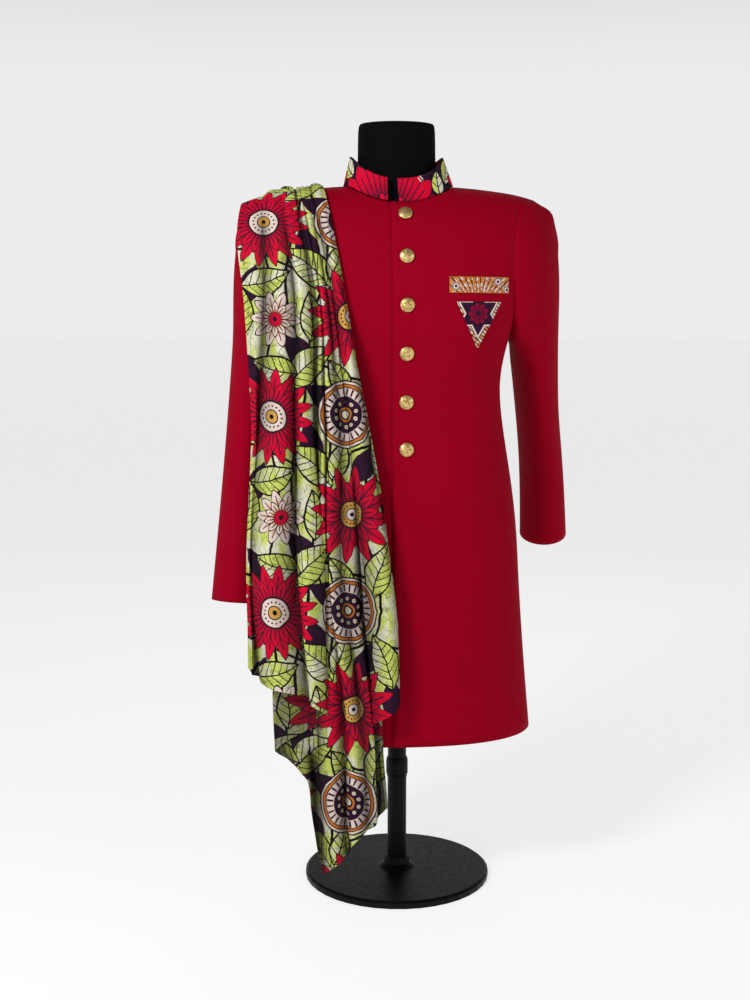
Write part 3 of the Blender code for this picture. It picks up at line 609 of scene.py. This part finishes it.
# fold line: x at the heights, mm from the centre; lift at the shoulder and low down; hem;
# place in the run of pleats, whole in a hollow; how freely it pleats; how much painted shade it gets
sashFolds = (
    ((238, 248, 239, 231, 234, 239, 240), (1.4, 5), 380, 0, 0.1, 0),
    ((211, 210, 209, 216, 224, 228, 226), (1.0, 4), 370, 1, 1, 0),
    ((199, 194, 185, 188, 192, 195, 193), (3.6, 19), 354, 1.5, 1, 0),
    ((184, 177, 163, 165, 165, 153, 147), (4.0, 15), 341, 2, 1, 0),
    ((176, 168, 152, 150, 147, 139, 133), (5.2, 22), 328, 2.5, 1, 0),
    ((167, 159, 143, 140, 135, 125, 122), (5.2, 22), 315, 2.88, 0.6, 0),
    ((164, 156, 140, 137, 132, 122, 119), (3.9, 16), 312, 3, 0, 0.6),
    ((167, 159, 143, 140, 135, 125, 122), (2.5, 10), 308, 3, 0, 0.8),
    ((174, 169, 160, 162, 166, 180, 196, 196), (2.5, 9.5), 258, 3, 0, 0.75),
    ((177, 172, 163, 165, 169, 183, 199, 199), (1.8, 6.7), 253, 3, 0, 0.6),
    ((174, 169, 160, 162, 166, 180, 196, 196), (1.0, 4), 250, 3, 0, 1),
    ((171, 164, 152, 153, 157, 168, 183, 181, 179), (1.0, 4), 243, 3, 0.3, 0.7),
    ((167, 160, 146, 146, 149, 156, 167, 164, 161), (1.0, 4), 233, 3.35, 0.8, 0.5),
    ((163, 155, 140, 139, 141, 145, 151, 148, 144, 142), (1.0, 4), 213, 3.65, 1, 0.3),
    ((159, 150, 132, 130, 130, 129, 131, 130, 128, 127), (1.0, 5), 64, 4, 1, 0.1),
    ((154, 143, 124, 118, 116, 106, 98, 92, 88, 85), (1.0, 3), 100, 5, 1, 0),
    ((145, 134, 114, 102, 96, 88, 75, 66, 62, 58), (2.1, 12), 136, 6, 1, 0),
    ((137, 126, 106, 90, 76, 64, 56, 50, 44, 42), (1.0, 5), 154, 7, 0.6, 0.5),
    ((126, 116, 97, 76, 56, 48, 44, 40, 31, 31), (1.0, 5), 166, 7.2, 0, 1),
    ((123, 113, 94, 73, 53, 45, 41, 37, 28, 28), (1.8, 8), 170, 7.3, 0, 0.8),
    ((126, 116, 97, 76, 56, 48, 44, 40, 31, 31), (2.5, 11), 176, 7.4, 0, 0.8),
    ((134, 123, 103, 87, 71, 59, 48, 48), (2.8, 12), 292, 7.7, 0, 0.9),
    ((137, 126, 106, 90, 74, 62, 51, 51), (3.9, 16), 298, 7.95, 0.2, 0.6),
    ((134, 123, 103, 87, 71, 59, 48, 48), (5.1, 20), 304, 8.12, 0.7, 0.1),
    ((127, 116, 96, 76, 50, 37, 28), (4.4, 17), 319, 8.6, 1, 0),
    ((118, 107, 88, 65, 36, 20, 12), (1.4, 8), 331, 9, 0.7, 0),
)


def sashRest(x, z):
    inner, middle, outer = (through(sashUser["restZ"], row, z) for row in sashUser["rest"])
    a, b, c = sashUser["restX"]
    return (inner * (x - b) * (x - c) / ((a - b) * (a - c)) + middle * (x - a) * (x - c) / ((b - a) * (b - c))
            + outer * (x - a) * (x - b) / ((c - a) * (c - b)))


def downFrom(start, z):
    # 0 above a height, 1 from a run below it on
    return ease((start[0] - z) / start[1])


def ripple(spec, z, place):
    # height, waves in a metre, phase for each fold, and phase at the first one
    size, pitch, step, *start = spec
    return size * np.sin(2 * pi * (z * pitch + place * step + sum(start)))


def liftAt(lift, z):
    # how far a fold stands off the coat, at the shoulder and low down
    top, low = sashUser["heights"][0], sashUser["heights"][6]
    return (lift[0] + (lift[1] - lift[0]) * ease((top - z) / (top - low))) / 1000


def sashColumn(index, places, lift, hem):
    user = sashUser
    stations = user["heights"][:len(places)]
    power = 2 / user["rollPower"]
    back, roll, hang = user["rows"]
    angles = np.concatenate([np.linspace(pi / 2 + radians(user["behind"]), pi / 2, back, endpoint=False),
                             np.linspace(pi / 2, 0, roll, endpoint=False)])
    topX = places[0] / 1000
    topZ = through(*user["shoulder"], topX) + user["topGap"]
    rise, push = np.abs(np.sin(angles)) ** power, np.abs(np.cos(angles)) ** power
    front = angles <= pi / 2
    z = user["rollZ"] + (topZ - user["rollZ"]) * rise
    x = np.where(front, through(stations, places, z) / 1000, topX)
    depth = np.where(front, sashRest(x, user["rollZ"]), -user["backDepth"])
    out = unit(np.stack([0 * z, -np.sign(depth) * push * user["rollLean"], rise], axis=1))
    up = np.stack([-x, -depth * push, z], axis=1) + out * liftAt(lift, z)[:, None]
    z = user["rollZ"] - np.linspace(0, 1, hang) * (user["rollZ"] - hem / 1000)
    x = through(stations, places, z) / 1000
    grown = downFrom(user["strayFrom"], z)
    sway = ripple(user["sway"], z, index) * grown
    swell = 1.0 + ripple(user["swell"], z, index) * grown
    down = np.stack([-x + sway, -sashRest(x, z) - liftAt(lift, z) * swell, z], axis=1)
    return np.concatenate([up, down])


def acrossFolds(points, steps):
    # centripetal curve across the fold lines of every row; points is rows x folds x 3
    ends = [2 * points[:, :1] - points[:, 1:2], points, 2 * points[:, -1:] - points[:, -2:-1]]
    p = np.concatenate(ends, axis=1)
    gaps = np.linalg.norm(np.diff(p, axis=1), axis=2) ** 0.5
    knots = np.concatenate([np.zeros_like(gaps[:, :1]), np.cumsum(gaps, axis=1)], axis=1)
    columns = []
    for k in range(1, p.shape[1] - 2):
        t0, t1, t2, t3 = (knots[:, k + n, None] for n in (-1, 0, 1, 2))
        p0, p1, p2, p3 = (p[:, k + n] for n in (-1, 0, 1, 2))
        last = k == p.shape[1] - 3
        for s in np.linspace(0, 1, steps + last, endpoint=last):
            t = t1 + (t2 - t1) * s
            a1 = (t1 - t) / (t1 - t0) * p0 + (t - t0) / (t1 - t0) * p1
            a2 = (t2 - t) / (t2 - t1) * p1 + (t - t1) / (t2 - t1) * p2
            a3 = (t3 - t) / (t3 - t2) * p2 + (t - t2) / (t3 - t2) * p3
            b1 = (t2 - t) / (t2 - t0) * a1 + (t - t0) / (t2 - t0) * a2
            b2 = (t3 - t) / (t3 - t1) * a2 + (t - t1) / (t3 - t1) * a3
            columns.append((t2 - t) / (t2 - t1) * b1 + (t - t1) / (t2 - t1) * b2)
    return np.stack(columns, axis=1)


def alongFolds(values, steps):
    return np.interp(np.arange((len(values) - 1) * steps + 1) / steps, np.arange(len(values)), values)


def buildSash():
    user = sashUser
    folds = np.array([sashColumn(k, *fold[:3]) for k, fold in enumerate(sashFolds)]).transpose(1, 0, 2)
    grid = acrossFolds(folds, user["steps"])
    # the hem runs straight from fold to fold
    grid[..., 2] = np.array([alongFolds(row, user["steps"]) for row in folds[..., 2]])
    climb, run = np.gradient(grid, axis=0), np.gradient(grid, axis=1)
    normals = unit(np.cross(climb, run))
    width = np.linalg.norm(np.diff(grid, axis=1), axis=2)
    arc = np.concatenate([np.zeros_like(width[:, :1]), np.cumsum(width, axis=1)], axis=1)
    z = grid[..., 2]
    # pleats: narrow hollows between round backs, always away from the coat
    place, free, shade = (alongFolds([fold[k] for fold in sashFolds], user["steps"]) for k in (3, 4, 5))
    first, last = (k * user["steps"] for k in user["tail"])
    under = np.zeros_like(free)
    under[first:last] = 1
    free = free * (1 - under * (1 - downFrom(user["tailFrom"], z)))
    drift = ripple(user["drift"], z, place) * downFrom(user["driftFrom"], z)
    deep = user["pleat"][0] + (user["pleat"][1] - user["pleat"][0]) * downFrom(user["pleatFrom"], z)
    uneven = 0.85 + ripple(user["uneven"], z, place)
    back = np.abs(np.sin(pi * (place + drift))) ** user["pleatShape"]
    pleat = deep * uneven * free * back
    # painted shade: the print darkens down in each pleat and on the layers whose shade column says so
    paintedShade = np.clip(shade + free * (1 - back) ** user["paintedShadeShape"] * downFrom(user["paintedShadeFrom"], z), 0, 1)
    # painted shadow: the tail is darkened just under the hem that hangs over it
    height, slope, start = user["overHem"]
    reach, depth = user["paintedHemShadow"]
    paintedHemShadow = np.exp(-np.maximum(height + slope * (grid[..., 0] + start) - z, 0) / reach) * under
    paintedShade = np.maximum(paintedShade, paintedHemShadow * depth)
    # finer creases between them come and go down the cloth
    crease = np.zeros_like(arc)
    for k, lean in enumerate((0.5, -0.3, 1.1)):
        sway = lean * z * 3.0 + 0.35 * np.sin(2 * pi * z * (1.1 + 0.6 * k) + rng.uniform(0, 6))
        shown = ease(0.5 + 0.9 * np.sin(2 * pi * (z * (1.6 + 0.7 * k) + arc * 3.0 + rng.uniform(0, 1))))
        crease += shown * (1.0 - np.abs(np.sin(pi * (arc / (user["creasePitch"] * (1 + 0.4 * k)) + sway))) ** 0.7)
    crease = user["crease"] * (1.0 - np.clip(crease, 0, 1)) * free * downFrom(user["creaseFrom"], z)
    grid = grid + normals * (pleat + crease)[..., None]
    climb, run = np.gradient(grid, axis=0), np.gradient(grid, axis=1)
    normals = unit(np.cross(climb, run))
    # flat coordinates: across as the front shows it, down along the cloth
    side = -np.diff(grid[..., 0], axis=1)
    stretch = np.hypot(side, np.diff(grid[..., 1], axis=1)) / np.maximum(np.abs(side), 1e-6)
    stretch = np.minimum(stretch, user["stretch"])
    u = np.concatenate([-grid[:, :1, 0], -grid[:, :1, 0] + np.cumsum(side * stretch, axis=1)], axis=1)
    u += np.mean(-grid[..., 0] - u, axis=1, keepdims=True)
    # the layer folded under shows another part of the print
    u += user["shift"] * alongFolds([k in user["folded"] for k in range(len(sashFolds))], user["steps"])
    bend = user["rows"][0] + user["rows"][1]
    steps = np.hypot(np.diff(grid[..., 1], axis=0), np.diff(grid[..., 2], axis=0))[:bend]
    v = grid[..., 2].copy()
    v[:bend] = user["rollZ"] + np.cumsum(steps[::-1], axis=0)[::-1]
    hem = grid[..., 2] - grid[-1:, :, 2]
    hem = np.minimum(hem, np.minimum(arc, arc[:, -1:] - arc))
    half = user["cloth"] / 2
    # the painted shade rides on the cloth as an attribute, beside the distance from the hem
    return shell("sash_cloth", grid + normals * half, grid - normals * half,
                 cottonFinish("wax print floral", sashPrint), np.stack([u, v], axis=-1),
                 {"hem": hem, "paintedShade": paintedShade})


sash = buildSash()
turnedOut(sash)
placed(sash, "sash")
print("sash", len(sash.data.polygons))


# The collar, the pocket strip and the patch: other cuts of the printed cotton
trimUser = {
    "neck": (0.0, -0.005),
    "neckRadius": 0.080,
    "collarBase": 1.111,
    "dip": 4.6,
    "flower": {"petals": 22, "reach": 0.094, "inner": 0.46, "notch": 0.16, "point": 1.3, "turn": 0.35,
               "heart": 0.016, "line": 0.0026, "paint": ("crimson", "deep", "plum"),
               "rings": ((1.12, "line"), (1.0, "gold"), (0.50, "line"), (0.42, "pearl"))},
    "flowerPlaces": ((0.176, -0.032), (-0.190, -0.034), (-0.022, -0.036)),
    # u, v, turn, length, width, bend
    "leaves": ((0.068, 0.012, 80, 0.036, 0.024, 0.002), (-0.112, 0.030, 150, 0.050, 0.030, 0.003),
               (0.100, 0.024, 40, 0.050, 0.026, 0.003), (-0.225, 0.020, 60, 0.060, 0.034, 0.004)),
    # a short row of dashes: its ends, height and thickness, and from dash to dash
    "dashes": ((0.031, 0.040), (0.0225, 0.0085), 0.0062),
    # stripes fan out from a point below the welt, and an orange line runs along its edges in x and in z
    "fan": ((0.112, 0.918), 0.024, 0.0060, 0.0058),
    "weltSpots": ((0.076, 0.955), (0.142, 0.962), (0.157, 0.950)),
    "weltEdges": ((0.0666, 0.1584), (0.9684, 0.9456)),
    "edge": 0.0012,
    "starMiddle": (0.1113, 0.9145),
    "starReach": 0.0330,
    "starPetals": 9,
}


def collarPrint(finish):
    user = trimUser
    x, y, z = finish.place.parts()
    angle = x.math("ARCTAN2", x - user["neck"][0], (y - user["neck"][1]) * -1.0)
    u = angle * user["neckRadius"]
    depth = y - user["neck"][1]
    v = z - user["collarBase"] + depth * depth * user["dip"]
    flat = u.joined(u, v)
    colour = flat.noise(60.0, 2.0).ramp(0.50, 0.54).mix(ink["plum"], ink["line"])
    for spec in user["leaves"]:
        colour = leaf(colour, u, v, printPlan["repeat"], spec, ink["cream"])
    for place in user["flowerPlaces"]:
        colour = daisy(colour, u, v, place, printPlan["repeat"], user["flower"])
    (start, end), band, pitch = user["dashes"]
    dash = abs(((u + v * 0.9) / pitch).fraction() - 0.5).under(0.20, 0.06)
    row = v.near(*band) * dash * (u.ramp(start, start + 0.001) - u.ramp(end, end + 0.001))
    return row.mix(colour, ink["pearl"])


def stripes(place, pitch, width):
    return abs((place / pitch).fraction() - 0.5).under(width / pitch / 2, 0.06)


def weltPrint(finish):
    x, _, z = finish.place.parts()
    user = trimUser
    colour = x.joined(x, z).noise(170.0, 3.0).ramp(0.44, 0.54).mix(ink["pearl"], ink["orange"])
    middle, pitch, light, dark = user["fan"]
    angle = Motif(x, z, middle).angle
    colour = stripes(angle, pitch, light).mix(colour, ink["orange"])
    colour = stripes(angle + pitch / 3, pitch, dark).mix(colour, ink["line"])
    for place in user["weltSpots"]:
        spot = Motif(x, z, place)
        colour = spot.radius.under(0.0062).mix(colour, ink["pearl"])
        colour = spot.radius.near(0.0050, 0.0014).mix(colour, ink["line"])
        colour = spot.radius.under(0.0022).mix(colour, ink["plum"])
    for way, edges in zip((x, z), user["weltEdges"]):
        for place in edges:
            colour = way.near(place, user["edge"]).mix(colour, ink["orange"])
    return colour


def patchPrint(finish):
    x, _, z = finish.place.parts()
    reach, count = trimUser["starReach"], trimUser["starPetals"]
    colour = x.joined(x, z).noise(170.0, 3.0).ramp(0.44, 0.56).mix(ink["pearl"], ink["orange"])
    colour = stripes(x * 0.8 + z, 0.0062, 0.0020).mix(colour, ink["line"])
    m = Motif(x, z, trimUser["starMiddle"])
    # a six-pointed star: each point's side is a straight line
    turn = m.fold(6) * (pi / 6)
    edge = m.radius * (turn.sine() * cos(pi / 6) + turn.cosine() * sin(pi / 6)) - reach * 0.5
    colour = edge.under(0.0034).mix(colour, ink["line"])
    colour = edge.under(0.0024).mix(colour, ink["pearl"])
    colour = edge.under(0.0).mix(colour, ink["plum"])
    fold = m.fold(count)
    petal = m.radius - reach * 0.47 * (1.0 - 0.30 * fold ** 1.6)
    colour = petal.under(0.0).mix(colour, ink["wine"])
    spot = m.drop(fold, count, reach * 0.27, reach * 0.10, reach * 0.07)
    colour = spot.under(1.0, 0.3).mix(colour, ink["deep"])
    gap = (1.0 - fold) * m.radius * (pi / count)
    colour = (gap.under(0.0007) * petal.under(0.0)).mix(colour, ink["plum"])
    colour = m.radius.under(reach * 0.13).mix(colour, ink["plum"])
    return m.dots(colour, reach * 0.10, 6, 0.0009, ink["plum"], ink["plum"])


collar = smoothCopy("collar_band", "collar", cottonFinish("wax print crimson", collarPrint))
placed(collar, "collar")
welt = smoothCopy("welt_strip", "pocket_welt", cottonFinish("wax print orange", weltPrint), sharp=30.0)
placed(welt, "pocket_welt")
patch = smoothCopy("star_patch", "chest_patch", cottonFinish("wax print star", patchPrint), sharp=30.0)
placed(patch, "chest_patch")
print("collar, welt and patch")


# Buttons: a gilt dome with a leafy relief inside a rim
buttonUser = {
    "radius": 0.0108,
    "height": 0.005452,
    # profile in shares of the radius and height: the underside, then where the dome starts, its rise and shape
    "under": ((0.55, 0.0), (0.80, 0.05), (0.95, 0.16), (1.0, 0.30), (0.985, 0.40)),
    "dome": (0.965, 0.42, 0.54, 0.80),
    "gold": (tint(226, 198, 134), tint(176, 142, 82)),
    "rings": 30,
    "around": 72,
    "relief": 0.00017,
    "lift": 0.0002,
}


def buttonRelief(r, a):
    # height of the pattern at a share of the radius and an angle
    leaves = np.cos(7 * a + 4.5 * r) * np.exp(-((r - 0.50) / 0.16) ** 2)
    knot = np.cos(3 * a + 0.6) * np.exp(-((r - 0.20) / 0.10) ** 2) * 0.8
    boss = np.exp(-(r / 0.12) ** 2) * 0.8
    twigs = np.cos(14 * a - 7.0 * r + 1.0) * np.exp(-((r - 0.68) / 0.06) ** 2) * 0.4
    rim = np.exp(-((r - 0.87) / 0.04) ** 2) * 1.2 - np.exp(-((r - 0.79) / 0.03) ** 2) * 1.3
    return leaves + twigs + knot + boss + rim


def goldFinish():
    finish = Finish("gilt metal", Metallic=0.85)
    worn = finish.place.noise(260.0, 3.0)
    finish.feed("Base Color", worn.ramp(0.35, 0.65).mix(*buttonUser["gold"]))
    finish.feed("Roughness", finish.place.noise(420.0, 2.0).ramp(0.3, 0.7, 0.32, 0.46))
    return finish.material


gold = goldFinish()


def buildButton(number):
    user = buttonUser
    node = nodes[f"button_{number}"]
    spots = np.array([list(v.co) for v in node.data.vertices])
    middle = spots.mean(axis=0)
    axes = np.linalg.svd(spots - middle, full_matrices=False)[2]
    out = axes[2] * (1.0 if axes[2][1] < 0 else -1.0)
    low = ((spots - middle) @ out).min()
    centre = (spots.min(axis=0) + spots.max(axis=0)) / 2
    centre = centre + out * (low + user["lift"] - (centre - middle) @ out)
    side = unit(np.cross(out, (0.0, 0.0, 1.0)))
    up = np.cross(side, out)
    # rings from the underside's middle, round the rim and up the dome
    edge, foot, rise, power = user["dome"]
    dome = [(s, foot + rise * (1 - (s / edge) ** 2) ** power) for s in np.linspace(edge, 0.0, user["rings"])]
    profile = np.array(list(user["under"]) + dome[:-1])
    turn = np.arange(user["around"]) * 2 * pi / user["around"]
    r, h = profile[:, :1], profile[:, 1:]
    onTop = np.arange(len(profile))[:, None] >= len(user["under"])
    lift = h * user["height"] + np.where(onTop, buttonRelief(r, turn[None, :]), 0.0) * user["relief"]
    around = np.cos(turn)[:, None] * side + np.sin(turn)[:, None] * up
    ring = centre + lift[..., None] * out + (r * user["radius"])[..., None] * around
    crown = centre + out * ((foot + rise) * user["height"] + buttonRelief(0.0, 0.0) * user["relief"])
    rows, cols = ring.shape[:2]
    ids = np.arange(rows * cols).reshape(rows, cols)
    nextCol = np.roll(ids, -1, axis=1)
    faces = np.stack([ids[:-1], nextCol[:-1], nextCol[1:], ids[1:]], -1).reshape(-1, 4).tolist()
    last = rows * cols
    faces += [[last, int(nextCol[0, k]), int(ids[0, k])] for k in range(cols)]
    faces += [[last + 1, int(ids[-1, k]), int(nextCol[-1, k])] for k in range(cols)]
    mesh = bpy.data.meshes.new(f"gilt_button_{number}")
    mesh.from_pydata(ring.reshape(-1, 3).tolist() + [centre.tolist(), crown.tolist()], [], faces)
    return objectOf(f"gilt_button_{number}", mesh, gold, 60.0)


for number in range(1, 7):
    button = buildButton(number)
    turnedOut(button)
    placed(button, f"button_{number}")
print("buttons")


# The form and its stand
standUser = {
    "jersey": (tint(5, 5, 6), tint(8, 8, 9)),
    "metal": (tint(6, 6, 7), tint(11, 11, 12)),
    "metalRoughness": (0.36, 0.48),
}


def jerseyFinish():
    finish = Finish("black jersey", Specular_IOR_Level=0.06)
    knit = finish.place.noise(900.0, 1.0)
    finish.feed("Base Color", finish.place.noise(35.0).mix(*standUser["jersey"]))
    finish.feed("Roughness", knit.ramp(0.3, 0.7, 0.84, 0.95))
    finish.bump(knit, 0.10, 0.0005)
    return finish.material


def metalFinish():
    finish = Finish("black metal", Specular_IOR_Level=0.10)
    finish.feed("Base Color", finish.place.noise(50.0).mix(*standUser["metal"]))
    finish.feed("Roughness", finish.place.noise(130.0, 3.0).ramp(0.3, 0.7, *standUser["metalRoughness"]))
    finish.bump(finish.place.noise(1500.0, 1.0), 0.04, 0.0002)
    return finish.material


torso = smoothCopy("jersey_form", "form_torso", jerseyFinish(), 1, 50.0)
placed(torso, "form_torso")
metal = metalFinish()
for name in ("base", "pole_lower", "height_knob", "pole_upper"):
    nodes[name].data.materials.clear()
    nodes[name].data.materials.append(metal)
print("form and stand")


# Studio: pale floor, soft light, the photo's camera
studioUser = {
    # brightness of the walls and of the ceiling, and the heights where one turns into the other
    "world": (0.84, 0.14),
    "turn": (0.16, 0.44),
    "floor": tint(160, 160, 159),
    "glow": 0.72,
    "floorSize": 240.0,
    "lights": (
        # name, place, size, power
        ("key", (-1.5, -1.7, 2.0), 0.5, 43.0),
        ("fill", (2.1, -1.6, 1.5), 1.2, 12.0),
        ("rear", (0.6, 2.2, 2.2), 1.6, 8.0),
    ),
    "camera": (-0.19174, -2.19163, 0.892),
    "target": (-0.03586, 0.00314, 0.620),
    "lens": 49.88,
}


def buildStudio():
    user = studioUser
    bpy.ops.mesh.primitive_plane_add(size=user["floorSize"])
    floor = bpy.context.object
    floor.name = "floor"
    finish = Finish("floor", Roughness=0.9)
    finish.shader.inputs["Base Color"].default_value = user["floor"]
    finish.shader.inputs["Emission Color"].default_value = (1.0, 1.0, 1.0, 1.0)
    finish.shader.inputs["Emission Strength"].default_value = user["glow"]
    floor.data.materials.append(finish.material)
    world = bpy.data.worlds.new("studio")
    bpy.context.scene.world = world
    world.use_nodes = True
    # white walls round the form under a dimmer ceiling
    tree = world.node_tree
    rise = Val(tree.nodes.new("ShaderNodeTexCoord").outputs["Generated"]).parts()[2]
    tree.links.new(rise.ramp(*user["turn"], *user["world"]).socket, tree.nodes["Background"].inputs["Strength"])
    tree.nodes["Background"].inputs["Color"].default_value = (1.0, 1.0, 1.0, 1.0)
    aim = Vector(user["target"])
    for name, place, size, power in user["lights"]:
        lamp = bpy.data.lights.new(name, "AREA")
        lamp.size = size
        lamp.energy = power
        holder = bpy.data.objects.new(name, lamp)
        holder.location = place
        holder.rotation_euler = (aim - Vector(place)).to_track_quat("-Z", "Y").to_euler()
        bpy.context.scene.collection.objects.link(holder)
    view = bpy.data.cameras.new("camera")
    view.lens = user["lens"]
    view.sensor_width = 36.0
    eye = bpy.data.objects.new("camera", view)
    eye.location = user["camera"]
    eye.rotation_euler = (aim - Vector(user["camera"])).to_track_quat("-Z", "Y").to_euler()
    bpy.context.scene.collection.objects.link(eye)
    bpy.context.scene.camera = eye
    bpy.context.scene.view_settings.view_transform = "Standard"


buildStudio()
print("studio")
